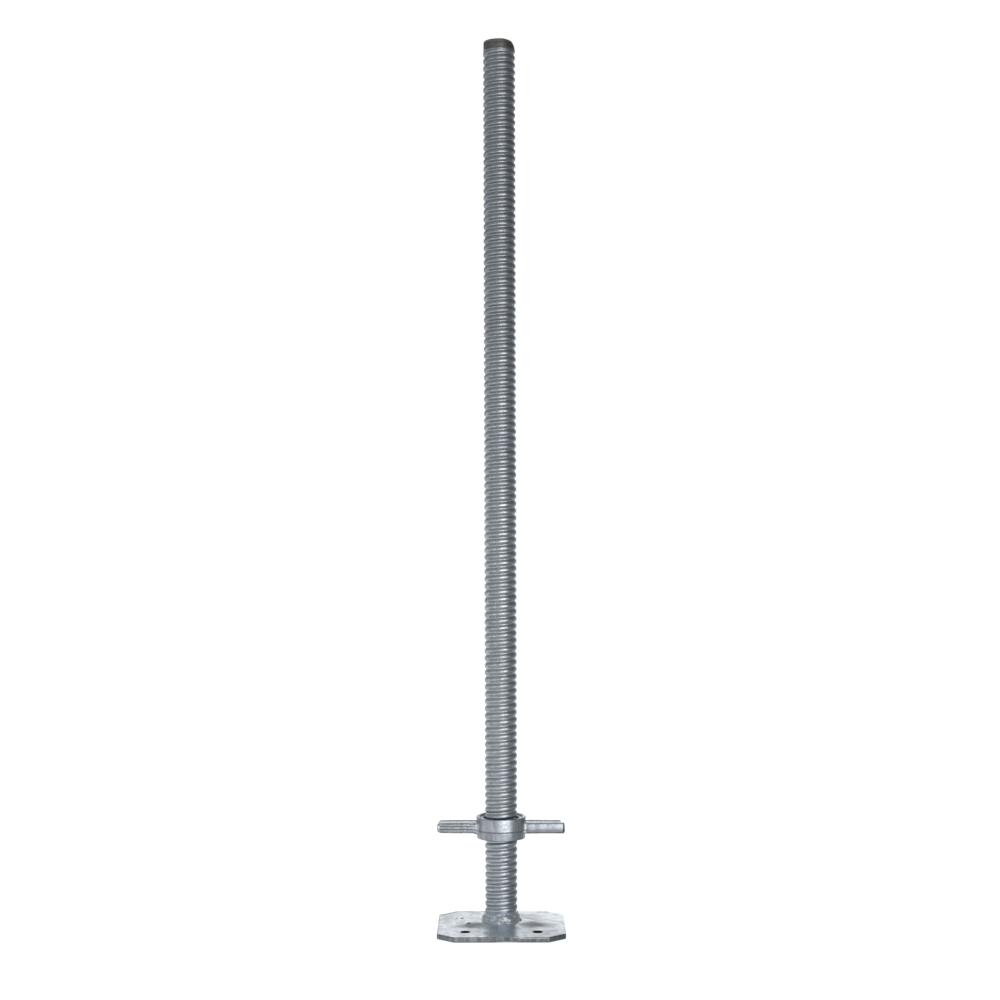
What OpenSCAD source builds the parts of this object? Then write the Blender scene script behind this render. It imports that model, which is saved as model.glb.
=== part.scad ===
// Adjustable scaffold base jack: a rolled rope thread on a tube, a pressed base plate,
// a fillet weld between the two, and a cast wing nut that carries the scaffold tube.
// Millimetres, +Z up the stem, origin at the middle of the plate's underside.

/* [Stem] */
// Outside diameter over the thread crests
stem_d = 38; // [34:0.5:40]
// Wall of the stem tube
stem_wall = 4.5; // [4:0.5:6]
// Overall height of the jack
jack_h = 1050; // [400:10:1200]
// Climb of the thread in one turn
thread_pitch = 8.5; // [8:0.25:10]
// Depth of the rolled groove
thread_depth = 1.75; // [1:0.05:2]
// Radius of the round roll that presses the groove
groove_r = 2.4; // [2.3:0.1:2.6]
// Length of the plain end above the thread
plain_end = 10; // [6:1:30]
// How much smaller in radius the plain end is than the crests
end_step = 0.5; // [0.2:0.1:1]
// Bevel on the rim of the plain end
end_bevel = 1.2; // [0.4:0.1:1.6]

/* [Base plate] */
// Side of the square plate
plate_w = 150; // [140:5:160]
// Thickness of the sheet
plate_t = 6; // [5:0.5:8]
// Length of the cut across each corner, measured along the side
corner_cut = 20; // [10:1:24]
// Height that the middle is pressed up
press_h = 5.5; // [3:0.5:6]
// Radius of the flat top that carries the stem
seat_r = 26; // [25:1:28]
// Radius at which the pressed rise has run out
press_r = 62; // [58:1:70]
// Radius of the flat pad left in each corner
pad_r = 21; // [19:0.5:22]
// Distance between the middles of the pads, side to side
pad_gap_x = 84; // [82:1:90]
// Distance between the middles of the pads, front to back
pad_gap_y = 88; // [86:1:92]
// Diameter of the fixing hole in each of the two front pads
hole_d = 11; // [9:0.5:14]

/* [Weld] */
// Leg of the fillet on the plate
weld_leg = 4.9; // [3:0.1:6]
// Height of the fillet up the stem
weld_h = 10.5; // [6:0.5:14]
// Number of lumps round the fillet
weld_lumps = 15; // [9:1:20]

/* [Wing nut] */
// Height of the nut's underside above the floor
nut_z = 108.5; // [40:0.5:300]
// Height of the nut's ring
nut_h = 24.5; // [20:0.5:30]
// Outside diameter of the ring at its widest
ring_d = 57; // [56:0.5:62]
// Gap between the thread crests and the nut's bore, in radius
nut_gap = 0.4; // [0.3:0.1:0.8]
// Diameter of the recess that seats the scaffold tube
recess_d = 50; // [49:0.5:51]
// Depth of that recess
recess_h = 3; // [2:0.5:3.5]
// Reach of the left arm from the middle of the stem
left_reach = 75.7; // [65:0.1:90]
// Reach of the right arm from the middle of the stem
right_reach = 74.6; // [65:0.1:90]
// Width of an arm, from front to back
arm_w = 23.4; // [18:0.2:28]
// Height of an arm
arm_h = 11.7; // [9:0.1:14]
// Thickness of the side walls beside the hollow under an arm
arm_wall = 5.2; // [4:0.2:6]
// Thickness of an arm over that hollow
arm_web = 6.4; // [4:0.2:7]
// How much shorter the back half of the right arm is
right_back_cut = 4.6; // [0:0.1:8]

/* [Hidden] */

// zinc, a little lighter on the plate than on the stem
stem_grey = [0.50, 0.54, 0.57];
plate_grey = [0.76, 0.79, 0.82];
weld_grey = [0.42, 0.45, 0.48];
nut_grey = [0.64, 0.67, 0.71];

over = 1; // a cutter's reach past what it cuts
fine = 96;

stem_r = stem_d / 2;
stem_foot_z = plate_t + press_h;
weld_top_z = stem_foot_z + weld_h;

// the roll's own centre line, and the tilt that lifts half a turn by half a pitch
roll_r = stem_r - thread_depth + groove_r;
half_turn_tilt = asin(thread_pitch / 4 / roll_r);
thread_foot_z = weld_top_z + groove_r;
thread_top_z = jack_h - plain_end - groove_r;
half_turns = floor(2 * (thread_top_z - thread_foot_z) / thread_pitch);

pad_x = pad_gap_x / 2;
pad_y = pad_gap_y / 2;
pad_slope = 2.7; // run of a pressed slope for each millimetre of rise
sheet_offset = 1.2; // how far the underside of a pressed slope lies inside its top

nut_top_z = nut_z + nut_h;
ring_r = ring_d / 2;
draft = 0.6; // taper of a cast face from the parting line to its end
parting_z = nut_z + 10.2;
arm_mid_z = nut_z + nut_h / 2;
arm_root = ring_r - 4;
arm_dish = 0.6; // depth of the shallow dish along an arm's top
left_back_cut = 1.5;
left_tip_r = 4.6; // the left tip is well rounded, the right one nearly square
right_tip_r = 1.8;
gusset_h = 4.4;
grip_r = 0.9;

// Half a turn of the groove. It starts low on one side and ends half a pitch higher on
// the other, level at both ends, so that the next half joins it without a step.
module groove_half_turn(side) {
    rotate([0, 0, 180 * side])
        rotate([0, half_turn_tilt, 0])
            rotate_extrude(angle = 180, $fn = 48)
                translate([roll_r, 0])
                    circle(groove_r, $fn = 16);
}

module rope_thread() {
    for (turn = [0 : half_turns - 1])
        translate([0, 0, thread_foot_z + thread_pitch * (turn / 2 + 1 / 4)])
            groove_half_turn(turn % 2);
}

// The stem's section: a straight tube whose last stretch is left plain and bevelled
module stem_blank() {
    end_r = stem_r - end_step;
    end_z = jack_h - plain_end;
    rotate_extrude($fn = fine)
        polygon([
            [stem_r - stem_wall, stem_foot_z],
            [stem_r, stem_foot_z],
            [stem_r, end_z - end_step],
            [end_r, end_z],
            [end_r, jack_h - end_bevel],
            [end_r - end_bevel, jack_h],
            [stem_r - stem_wall, jack_h]
        ]);
}

module threaded_stem() {
    color(stem_grey)
        difference() {
            stem_blank();
            rope_thread();
        }
}

module plate_outline() {
    half = plate_w / 2;
    inner = half - corner_cut;
    polygon([
        [half, -inner], [half, inner], [inner, half], [-inner, half],
        [-half, inner], [-half, -inner], [-inner, -half], [inner, -half]
    ]);
}

module at_pads() {
    for (x = [-pad_x, pad_x], y = [-pad_y, pad_y])
        translate([x, y, 0])
            children();
}

module fixing_holes() {
    for (x = [-pad_x, pad_x])
        translate([x, -pad_y, -over])
            cylinder(d = hole_d, h = plate_t + press_h + 2 * over, $fn = fine);
}

// A low cone with a flat top, left out round the corner pads: once for the top of the
// sheet, and once, set in by the sheet's own thickness, for the hollow underneath.
module pressed_rise(base_z, inset) {
    difference() {
        translate([0, 0, base_z])
            cylinder(r1 = press_r - inset, r2 = seat_r - inset, h = press_h, $fn = fine);
        at_pads()
            translate([0, 0, base_z - over])
                cylinder(
                    r1 = pad_r + inset - over * pad_slope,
                    r2 = pad_r + inset + (press_h + over) * pad_slope,
                    h = press_h + 2 * over,
                    $fn = fine
                );
    }
}

module base_plate() {
    color(plate_grey)
        difference() {
            union() {
                linear_extrude(plate_t) plate_outline();
                intersection() {
                    pressed_rise(plate_t, 0);
                    linear_extrude(2 * (plate_t + press_h)) plate_outline();
                }
            }
            pressed_rise(0, sheet_offset);
            fixing_holes();
        }
}

module fillet_ring() {
    rotate_extrude($fn = fine)
        polygon([
            [stem_r - over, stem_foot_z],
            [stem_r + weld_leg, stem_foot_z],
            [stem_r + weld_leg * 0.9, stem_foot_z + weld_h * 0.14],
            [stem_r + weld_leg * 0.52, stem_foot_z + weld_h * 0.5],
            [stem_r + weld_leg * 0.2, stem_foot_z + weld_h * 0.86],
            [stem_r, weld_top_z],
            [stem_r - over, weld_top_z]
        ]);
}

// The lumps of a hand-laid bead, unevenly spaced and at uneven heights
module fillet_lumps() {
    for (lump = [0 : weld_lumps - 1])
        rotate([0, 0, (lump + 0.25 * sin(lump * 137)) * 360 / weld_lumps])
            translate([
                stem_r + weld_leg * 0.38,
                0,
                stem_foot_z + weld_h * (0.42 + 0.12 * sin(lump * 101))
            ])
                scale([weld_leg * 0.5, 3.2, weld_h * 0.4])
                    sphere(1, $fn = 24);
}

// A full fillet with lumps, cut off flush with the stem and the plate
module base_weld() {
    color(weld_grey)
        intersection() {
            union() {
                fillet_ring();
                fillet_lumps();
            }
            rotate_extrude($fn = fine)
                translate([stem_r, stem_foot_z])
                    square([weld_leg, weld_h]);
        }
}

// The ring tapers both ways from its parting line and is cupped on top for the tube
module nut_ring() {
    rotate_extrude($fn = fine)
        polygon([
            [ring_r - arm_wall - 2, nut_z],
            [ring_r - draft - 0.8, nut_z],
            [ring_r - draft, nut_z + 0.8],
            [ring_r - 0.3, parting_z - 0.3],
            [ring_r, parting_z],
            [ring_r - draft, nut_top_z - 1.2],
            [ring_r - draft - 0.8, nut_top_z],
            [ring_r - arm_wall - 2, nut_top_z]
        ]);
}

// Section of an arm: drafted sides, a shallow dish on top and a hollow underneath, with the
// front to the left
module arm_section() {
    half_w = arm_w / 2;
    half_h = arm_h / 2;
    split = parting_z - arm_mid_z;
    wall_in = half_w - arm_wall;
    dish_z = half_h - arm_dish;
    hollow_z = dish_z - arm_web;
    polygon([
        [-half_w + draft, -half_h], [-half_w, split], [-half_w + draft, half_h],
        [-wall_in - draft, half_h], [-wall_in, dish_z],
        [wall_in, dish_z], [wall_in + draft, half_h],
        [half_w - draft, half_h], [half_w, split], [half_w - draft, -half_h],
        [wall_in + draft, -half_h], [wall_in, hollow_z],
        [-wall_in, hollow_z], [-wall_in - draft, -half_h]
    ]);
}

// Side view of an arm, with the corners of its tip rounded
module arm_side_view(reach, tip_r) {
    square([reach - tip_r, arm_h]);
    translate([0, tip_r])
        square([reach, arm_h - 2 * tip_r]);
    for (z = [tip_r, arm_h - tip_r])
        translate([reach - tip_r, z])
            circle(tip_r, $fn = 48);
}

// One arm, pointing along +X
module nut_arm(reach, tip_r, back_cut) {
    difference() {
        intersection() {
            translate([arm_root, 0, arm_mid_z])
                rotate([90, 0, 90])
                    linear_extrude(reach - arm_root) arm_section();
            translate([0, arm_w, arm_mid_z - arm_h / 2])
                rotate([90, 0, 0])
                    linear_extrude(2 * arm_w) arm_side_view(reach, tip_r);
        }
        translate([reach - back_cut, 0, arm_mid_z - arm_h])
            cube([arm_w, arm_w, 2 * arm_h]);
    }
}

// The small web under an arm, where it grows out of the ring
module arm_gusset() {
    gusset_w = arm_w - 2 * draft;
    gusset_top = arm_mid_z - arm_h / 2 + 0.5;
    translate([0, gusset_w / 2, 0])
        rotate([90, 0, 0])
            linear_extrude(gusset_w)
                polygon([
                    [arm_root - 2, gusset_top],
                    [ring_r + 6, gusset_top],
                    [ring_r - 1.2, gusset_top - gusset_h],
                    [arm_root - 2, gusset_top - gusset_h]
                ]);
}

// Finger grooves along the front of the left arm
module grip_grooves() {
    for (z = [arm_mid_z + 2.6, arm_mid_z - 0.9])
        translate([-left_reach - over, -arm_w / 2 - 0.1, z])
            rotate([0, 90, 0])
                cylinder(r = grip_r, h = left_reach - ring_r + over, $fn = 24);
}

module wing_nut() {
    bore_r = stem_r + nut_gap;
    color(nut_grey)
        difference() {
            union() {
                nut_ring();
                translate([0, 0, nut_z])
                    cylinder(r = ring_r - arm_wall, h = nut_h, $fn = fine);
                nut_arm(right_reach, right_tip_r, right_back_cut);
                arm_gusset();
                mirror([1, 0, 0]) {
                    nut_arm(left_reach, left_tip_r, left_back_cut);
                    arm_gusset();
                }
            }
            translate([0, 0, nut_z - over])
                cylinder(r = bore_r, h = nut_h + 2 * over, $fn = fine);
            translate([0, 0, nut_z - 0.01])
                cylinder(r1 = bore_r + 1.2, r2 = bore_r, h = 1.2, $fn = fine);
            translate([0, 0, nut_top_z - recess_h])
                cylinder(d = recess_d, h = recess_h + over, $fn = fine);
            grip_grooves();
        }
}

threaded_stem();
base_plate();
base_weld();
wing_nut();
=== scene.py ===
# Scaffold base jack: rope-threaded stem, pressed plate, weld and cast wing nut.
# The pieces' sizes are in millimetres; the finishes, the studio and the scene are in metres.
import math

import bpy
import numpy as np
import openvdb
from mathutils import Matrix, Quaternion, Vector, noise


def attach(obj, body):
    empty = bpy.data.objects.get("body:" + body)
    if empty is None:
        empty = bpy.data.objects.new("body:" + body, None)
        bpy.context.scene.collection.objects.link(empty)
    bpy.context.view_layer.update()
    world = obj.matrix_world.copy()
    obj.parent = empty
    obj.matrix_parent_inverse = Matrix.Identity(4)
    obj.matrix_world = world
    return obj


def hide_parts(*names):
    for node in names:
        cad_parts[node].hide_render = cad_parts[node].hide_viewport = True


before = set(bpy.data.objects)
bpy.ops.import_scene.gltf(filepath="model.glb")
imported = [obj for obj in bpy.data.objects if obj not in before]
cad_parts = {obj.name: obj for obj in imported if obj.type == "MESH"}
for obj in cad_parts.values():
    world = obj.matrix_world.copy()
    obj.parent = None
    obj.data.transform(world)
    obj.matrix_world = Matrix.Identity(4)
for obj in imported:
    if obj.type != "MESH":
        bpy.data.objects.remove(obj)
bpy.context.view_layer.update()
scene = bpy.context.scene
mm = 0.001
print("frame loaded:", ", ".join(sorted(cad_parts)))


def linkNew(name, data):
    thing = bpy.data.objects.new(name, data)
    scene.collection.objects.link(thing)
    return thing


# ---- building node trees ----

def plug(tree, socket, value):
    if isinstance(value, bpy.types.NodeSocket):
        tree.links.new(value, socket)
    elif value is not None:
        socket.default_value = value


def addNode(tree, kind, ins=None, **settings):
    node = tree.nodes.new(kind)
    for key, value in settings.items():
        setattr(node, key, value)
    for key, value in (ins or {}).items():
        plug(tree, node.inputs[key], value)
    return node


def calc(tree, operation, *terms, clamp=False):
    node = addNode(tree, "ShaderNodeMath", operation=operation, use_clamp=clamp)
    for socket, term in zip(node.inputs, terms):
        plug(tree, socket, term)
    return node.outputs[0]


def ease(tree, value, start, end, low=0.0, high=1.0):
    # a smooth step of value from start to end
    node = addNode(tree, "ShaderNodeMapRange", interpolation_type="SMOOTHSTEP")
    for key, term in zip(("Value", "From Min", "From Max", "To Min", "To Max"),
                         (value, start, end, low, high)):
        plug(tree, node.inputs[key], term)
    return node.outputs["Result"]


def blendColour(tree, amount, first, second, kind="MIX"):
    node = addNode(tree, "ShaderNodeMix", data_type="RGBA", blend_type=kind)
    for index, term in zip((0, 6, 7), (amount, first, second)):
        plug(tree, node.inputs[index], term)
    return node.outputs[2]


def noiseAt(tree, where, scale, detail=3.0, rough=0.5, twist=0.0):
    ins = {"Vector": where, "Scale": scale, "Detail": detail, "Roughness": rough, "Distortion": twist}
    return addNode(tree, "ShaderNodeTexNoise", ins).outputs["Fac"]


def axesOf(tree, vector):
    return addNode(tree, "ShaderNodeSeparateXYZ", {"Vector": vector}).outputs


def stretched(tree, where, factors):
    return addNode(tree, "ShaderNodeVectorMath", {0: where, 1: factors}, operation="MULTIPLY").outputs[0]


def tinted(tree, colour, mask, amount, tone):
    return blendColour(tree, calc(tree, "MULTIPLY", mask, amount), colour, tone)


def timesTone(tree, colour, tone):
    grey = addNode(tree, "ShaderNodeCombineColor", {0: tone, 1: tone, 2: tone}).outputs[0]
    return blendColour(tree, 1.0, colour, grey, "MULTIPLY")


def attributeAt(tree, name):
    return addNode(tree, "ShaderNodeAttribute", attribute_name=name).outputs["Fac"]


def newGroup(name, kind, inputs, outputs):
    tree = bpy.data.node_groups.new(name, kind)
    for label, socketType, value in inputs:
        socket = tree.interface.new_socket(label, in_out="INPUT", socket_type=socketType)
        if value is not None:
            socket.default_value = value
    for label, socketType in outputs:
        tree.interface.new_socket(label, in_out="OUTPUT", socket_type=socketType)
    return tree, tree.nodes.new("NodeGroupInput").outputs, tree.nodes.new("NodeGroupOutput").inputs


def labelOf(key):
    # a socket's label: grooveDepth becomes Groove Depth
    return "".join(" " + c if c.isupper() else c for c in key).title()


def useGroup(tree, group, **ins):
    sockets = {labelOf(key): value for key, value in ins.items()}
    return addNode(tree, "ShaderNodeGroup", sockets, node_tree=group).outputs


# ---- effects that several finishes share ----

def makeSpangle():
    # zinc crystals: flat patches of slightly different brightness with soft borders
    tree, given, result = newGroup(
        "zincSpangle", "ShaderNodeTree",
        [("Vector", "NodeSocketVector", None), ("Scale", "NodeSocketFloat", 120.0),
         ("Stretch", "NodeSocketFloat", 1.0)],
        [("Shade", "NodeSocketFloat"), ("Height", "NodeSocketFloat")])
    # the borders wander by up to 4 mm
    wobble = addNode(tree, "ShaderNodeTexNoise", {"Vector": given["Vector"], "Scale": 260.0, "Detail": 2.0})
    shifted = addNode(tree, "ShaderNodeVectorMath",
                      {0: wobble.outputs["Color"], 1: (0.004, 0.004, 0.004), 2: given["Vector"]},
                      operation="MULTIPLY_ADD").outputs[0]
    scale = addNode(tree, "ShaderNodeCombineXYZ", {"X": 1.0, "Y": 1.0, "Z": given["Stretch"]}).outputs[0]
    where = stretched(tree, shifted, scale)
    crystals = addNode(tree, "ShaderNodeTexVoronoi", {"Vector": where, "Scale": given["Scale"]},
                       feature="F1").outputs
    split = addNode(tree, "ShaderNodeSeparateColor", {"Color": crystals["Color"]})
    feather = noiseAt(tree, where, calc(tree, "MULTIPLY", given["Scale"], 5.0), 4.0, 0.6)
    patch = calc(tree, "MULTIPLY_ADD", split.outputs[0], 0.7, calc(tree, "MULTIPLY", feather, 0.3))
    plug(tree, result["Shade"], patch)
    plug(tree, result["Height"], calc(tree, "MULTIPLY_ADD", crystals["Distance"], -0.4, feather))
    return tree


def makeGrain():
    # the fine skin of dipped zinc
    tree, given, result = newGroup(
        "zincGrain", "ShaderNodeTree",
        [("Vector", "NodeSocketVector", None), ("Scale", "NodeSocketFloat", 900.0)],
        [("Shade", "NodeSocketFloat"), ("Height", "NodeSocketFloat")])
    broad = noiseAt(tree, given["Vector"], calc(tree, "MULTIPLY", given["Scale"], 0.16), 3.0, 0.55)
    close = noiseAt(tree, given["Vector"], given["Scale"], 4.0, 0.65)
    plug(tree, result["Shade"], calc(tree, "MULTIPLY_ADD", broad, 0.6, calc(tree, "MULTIPLY", close, 0.4)))
    plug(tree, result["Height"], close)
    return tree


def makeSpecks():
    # scattered dark specks of dross and dirt; Amount 0 is clean, 1 is peppered
    tree, given, result = newGroup(
        "dirtSpecks", "ShaderNodeTree",
        [("Vector", "NodeSocketVector", None), ("Scale", "NodeSocketFloat", 300.0),
         ("Amount", "NodeSocketFloat", 0.3)],
        [("Mask", "NodeSocketFloat")])
    where = noiseAt(tree, given["Vector"], given["Scale"], 2.0, 0.5)
    limit = calc(tree, "MULTIPLY_ADD", given["Amount"], -0.16, 0.78)
    spots = ease(tree, where, limit, calc(tree, "ADD", limit, 0.05))
    region = ease(tree, noiseAt(tree, given["Vector"], calc(tree, "MULTIPLY", given["Scale"], 0.11), 2.0),
                  0.38, 0.62)
    plug(tree, result["Mask"], calc(tree, "MULTIPLY", spots, region))
    return tree


def makeWear():
    # bright on worn ridges, dark in corners, from the shape itself
    tree, given, result = newGroup(
        "edgeWear", "ShaderNodeTree",
        [("Vector", "NodeSocketVector", None), ("Width", "NodeSocketFloat", 0.04)],
        [("Ridge", "NodeSocketFloat"), ("Corner", "NodeSocketFloat")])
    point = addNode(tree, "ShaderNodeNewGeometry").outputs["Pointiness"]
    broken = calc(tree, "MULTIPLY_ADD", noiseAt(tree, given["Vector"], 350.0, 3.0, 0.6), 0.03, -0.015)
    bumpy = calc(tree, "ADD", point, broken)
    plug(tree, result["Ridge"], ease(tree, bumpy, 0.505, calc(tree, "ADD", 0.51, given["Width"])))
    plug(tree, result["Corner"], ease(tree, bumpy, 0.495, calc(tree, "SUBTRACT", 0.49, given["Width"])))
    return tree


def makeRuns():
    # long soft runs down the piece, where the zinc drained
    tree, given, result = newGroup(
        "zincRuns", "ShaderNodeTree",
        [("Vector", "NodeSocketVector", None), ("Scale", "NodeSocketFloat", 60.0),
         ("Stretch", "NodeSocketFloat", 0.15)],
        [("Shade", "NodeSocketFloat")])
    scale = addNode(tree, "ShaderNodeCombineXYZ", {"X": 1.0, "Y": 1.0, "Z": given["Stretch"]}).outputs[0]
    where = stretched(tree, given["Vector"], scale)
    plug(tree, result["Shade"], noiseAt(tree, where, given["Scale"], 3.0, 0.55, 0.4))
    return tree


spangleGroup = makeSpangle()
grainGroup = makeGrain()
speckGroup = makeSpecks()
wearGroup = makeWear()
runGroup = makeRuns()


def greyTone(level, warmth=0.0):
    # a zinc grey: a little blue in it, unless warmth turns it towards brown
    red, green, blue = 0.915 + 0.16 * warmth, 1.0 - 0.01 * warmth, 1.09 - 0.26 * warmth
    return (level * red, level * green, level * blue, 1.0)


# what all the zinc has in common; each piece's own look follows
zinc = {
    "spangleShare": 0.55, "grainShare": 0.45, "spangleHeight": 0.4, "bumpDistance": 0.0004,
    "runScale": 70.0, "runStretch": 0.12, "ridgeGain": 1.18, "cornerGain": 0.45, "cornerWarmth": 0.4,
    "speckCover": 0.75, "speckTone": 0.09, "speckWarmth": 0.6, "speckRough": 0.3,
}


def zincFinish(name, look, extra=None):
    material = bpy.data.materials.new(name)
    material.use_nodes = True
    tree = material.node_tree
    shader = tree.nodes["Principled BSDF"]
    where = addNode(tree, "ShaderNodeTexCoord").outputs["Object"]
    spangle = useGroup(tree, spangleGroup, vector=where, scale=look["spangle"], stretch=look["stretch"])
    grain = useGroup(tree, grainGroup, vector=where, scale=look["grain"])
    specks = useGroup(tree, speckGroup, vector=where, scale=look["speckScale"], amount=look["specks"])
    wear = useGroup(tree, wearGroup, vector=where, width=look["wear"])
    runs = useGroup(tree, runGroup, vector=where, scale=zinc["runScale"], stretch=zinc["runStretch"])

    tone = calc(tree, "MULTIPLY_ADD", spangle["Shade"], zinc["spangleShare"],
                calc(tree, "MULTIPLY", grain["Shade"], zinc["grainShare"]))
    run = calc(tree, "MULTIPLY", calc(tree, "SUBTRACT", runs["Shade"], 0.5), look["runs"])
    tone = ease(tree, calc(tree, "ADD", tone, run), 0.25, 0.75)
    colour = blendColour(tree, tone, greyTone(look["dark"]), greyTone(look["light"]))
    colour = tinted(tree, colour, wear["Ridge"], look["ridge"], greyTone(look["light"] * zinc["ridgeGain"]))
    colour = tinted(tree, colour, wear["Corner"], look["corner"],
                    greyTone(look["dark"] * zinc["cornerGain"], zinc["cornerWarmth"]))
    colour = tinted(tree, colour, specks["Mask"], zinc["speckCover"],
                    greyTone(zinc["speckTone"], zinc["speckWarmth"]))
    rough = calc(tree, "MULTIPLY_ADD", calc(tree, "SUBTRACT", 1.0, tone), look["roughSpread"], look["rough"])
    rough = calc(tree, "MULTIPLY_ADD", specks["Mask"], zinc["speckRough"], rough)
    height = calc(tree, "MULTIPLY_ADD", spangle["Height"], zinc["spangleHeight"], grain["Height"])
    if extra:
        colour, rough = extra(tree, where, colour, rough)
    bump = addNode(tree, "ShaderNodeBump",
                   {"Strength": look["bump"], "Distance": zinc["bumpDistance"], "Height": height})
    plug(tree, shader.inputs["Base Color"], colour)
    plug(tree, shader.inputs["Roughness"], rough)
    plug(tree, shader.inputs["Normal"], bump.outputs["Normal"])
    shader.inputs["Metallic"].default_value = look["metal"]
    shader.inputs["Specular IOR Level"].default_value = 0.5
    return material


stemLook = {
    "dark": 0.68, "light": 0.87, "rough": 0.30, "roughSpread": 0.14, "metal": 0.95,
    "spangle": 190.0, "stretch": 1.0, "grain": 1300.0, "specks": 0.3, "speckScale": 520.0,
    "ridge": 0.0, "corner": 0.0, "wear": 0.05, "runs": 0.3, "bump": 0.035,
    # how much dirt and painted shade lie on the groove's flanks, how strong the painted highlight in its root
    # is, and how strong the stains are
    "dirt": 0.2, "rootHighlight": 0.8, "stain": 0.3,
    # painted shade at the top and painted light at the foot: their brightness, and the heights it changes
    # between, in metres
    "shadedTopTone": 0.74, "litFootTone": 1.045, "shadedHeight": 0.98, "litHeight": 0.38,
    # the burnt end: where it starts in metres, its darkest and lightest grey, and its roughness
    "burntFrom": 1.0395, "burntTo": 1.0425, "burntDark": 0.06, "burntLight": 0.48, "burntRough": 0.16,
}


def stemExtra(tree, where, colour, rough):
    # dirt and painted shade on the groove's flanks, a painted highlight in the groove's root, warm stains,
    # and the burnt end
    groove = attributeAt(tree, "groove")
    # dirt and painted shade: the groove's flanks are darkened towards the root
    patchy = calc(tree, "MULTIPLY_ADD", noiseAt(tree, where, 90.0, 3.0), 0.7, -0.1, clamp=True)
    dirt = calc(tree, "MULTIPLY", ease(tree, groove, 0.35, 1.0), patchy)
    colour = tinted(tree, colour, dirt, stemLook["dirt"], greyTone(0.16, 0.35))
    # painted highlight: the groove's root is lightened
    root = ease(tree, groove, 0.6, 1.0, 0.0, stemLook["rootHighlight"])
    colour = blendColour(tree, root, colour, greyTone(0.99))
    stain = ease(tree, noiseAt(tree, where, 22.0, 3.0, 0.6), 0.56, 0.72)
    colour = tinted(tree, colour, stain, stemLook["stain"], greyTone(0.50, 0.7))
    height = axesOf(tree, where)["Z"]
    # painted shade and light: the zinc is darkened towards the top and lightened at the foot
    colour = timesTone(tree, colour, ease(tree, height, stemLook["shadedHeight"], stemLook["litHeight"],
                                          stemLook["shadedTopTone"], stemLook["litFootTone"]))
    ragged = calc(tree, "MULTIPLY_ADD", noiseAt(tree, where, 120.0, 3.0), 0.004, height)
    end = ease(tree, ragged, stemLook["burntFrom"], stemLook["burntTo"])
    mottle = noiseAt(tree, stretched(tree, where, (0.35, 0.35, 1.4)), 330.0, 4.0, 0.65)
    # a paler line is worn just under the rim
    worn = calc(tree, "MULTIPLY", ease(tree, height, 1.0464, 1.0474), ease(tree, height, 1.0490, 1.0482))
    mottle = calc(tree, "MULTIPLY_ADD", worn, 0.7, mottle, clamp=True)
    burnt = blendColour(tree, mottle, greyTone(stemLook["burntDark"], 0.7),
                        greyTone(stemLook["burntLight"], 0.6))
    colour = blendColour(tree, end, colour, burnt)
    rough = calc(tree, "MULTIPLY_ADD", end, stemLook["burntRough"], rough)
    return colour, rough


plateLook = {
    "dark": 0.71, "light": 0.86, "rough": 0.22, "roughSpread": 0.12, "metal": 0.92,
    "spangle": 110.0, "stretch": 1.0, "grain": 900.0, "specks": 0.2, "speckScale": 330.0,
    "ridge": 0.1, "corner": 0.15, "wear": 0.05, "runs": 0.0, "bump": 0.06,
    # the sheared sides: darkest and lightest grey, how far they cover the zinc, and their roughness
    "sideDark": 0.17, "sideLight": 0.53, "sideCover": 0.8, "sideRough": 0.2,
    # a matt area in front of the stem: half its width, where it starts, its soft edge, in metres
    "mattHalf": 0.022, "mattStart": -0.020, "mattEdge": 0.010, "mattRough": 0.14,
}


def plateExtra(tree, where, colour, rough):
    # painted light and shade as brighter and darker areas, darker sheared sides with painted shadow at the
    # front's foot and painted shade in the holes, and the dark lumps of dross on the top
    # painted light and shade: the tone attribute darkens and brightens areas of the plate
    colour = timesTone(tree, colour, calc(tree, "ADD", attributeAt(tree, "tone"), 1.0))
    side = attributeAt(tree, "side")
    streaks = noiseAt(tree, stretched(tree, where, (1.0, 1.0, 0.15)), 260.0, 4.0, 0.7)
    sheared = blendColour(tree, ease(tree, streaks, 0.3, 0.7), greyTone(plateLook["sideDark"], 0.2),
                          greyTone(plateLook["sideLight"], 0.1))
    colour = tinted(tree, colour, side, plateLook["sideCover"], sheared)
    # above 1, where the painted shadow under the front's foot and the painted shade in the holes lie, the
    # sides are nearly black
    colour = blendColour(tree, ease(tree, side, 1.05, 1.2), colour, greyTone(0.05, 0.2))
    colour = blendColour(tree, attributeAt(tree, "dross"), colour, greyTone(0.05, 0.5))
    rough = calc(tree, "MULTIPLY_ADD", side, plateLook["sideRough"], rough)
    place = axesOf(tree, where)
    half, start, edge = (plateLook[key] for key in ("mattHalf", "mattStart", "mattEdge"))
    matt = calc(tree, "MULTIPLY", ease(tree, calc(tree, "ABSOLUTE", place["X"]), half, half - edge),
                ease(tree, place["Y"], start, start - edge))
    rough = calc(tree, "MULTIPLY_ADD", matt, plateLook["mattRough"], rough)
    return colour, rough


weldLook = {
    "dark": 0.90, "light": 1.0, "rough": 0.36, "roughSpread": 0.12, "metal": 0.8,
    "spangle": 260.0, "stretch": 1.0, "grain": 1400.0, "specks": 0.4, "speckScale": 500.0,
    "ridge": 0.15, "corner": 0.25, "wear": 0.06, "runs": 0.0, "bump": 0.10,
}

nutLook = {
    "dark": 0.76, "light": 0.92, "rough": 0.24, "roughSpread": 0.12, "metal": 0.95,
    "spangle": 170.0, "stretch": 0.35, "grain": 1100.0, "specks": 0.2, "speckScale": 420.0,
    "ridge": 0.2, "corner": 0.4, "wear": 0.05, "runs": 0.2, "bump": 0.05,
    # fine streaks on the ring and on the arms, and where one turns into the other, in metres
    "ringStreak": 0.32, "armStreak": 0.2, "armFrom": 0.027, "armTo": 0.033,
    # the painted highlight on the front of the ring, and how rough the grime and painted shade are
    "paintedSheen": 0.8, "dirtRough": 0.4,
}


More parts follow.
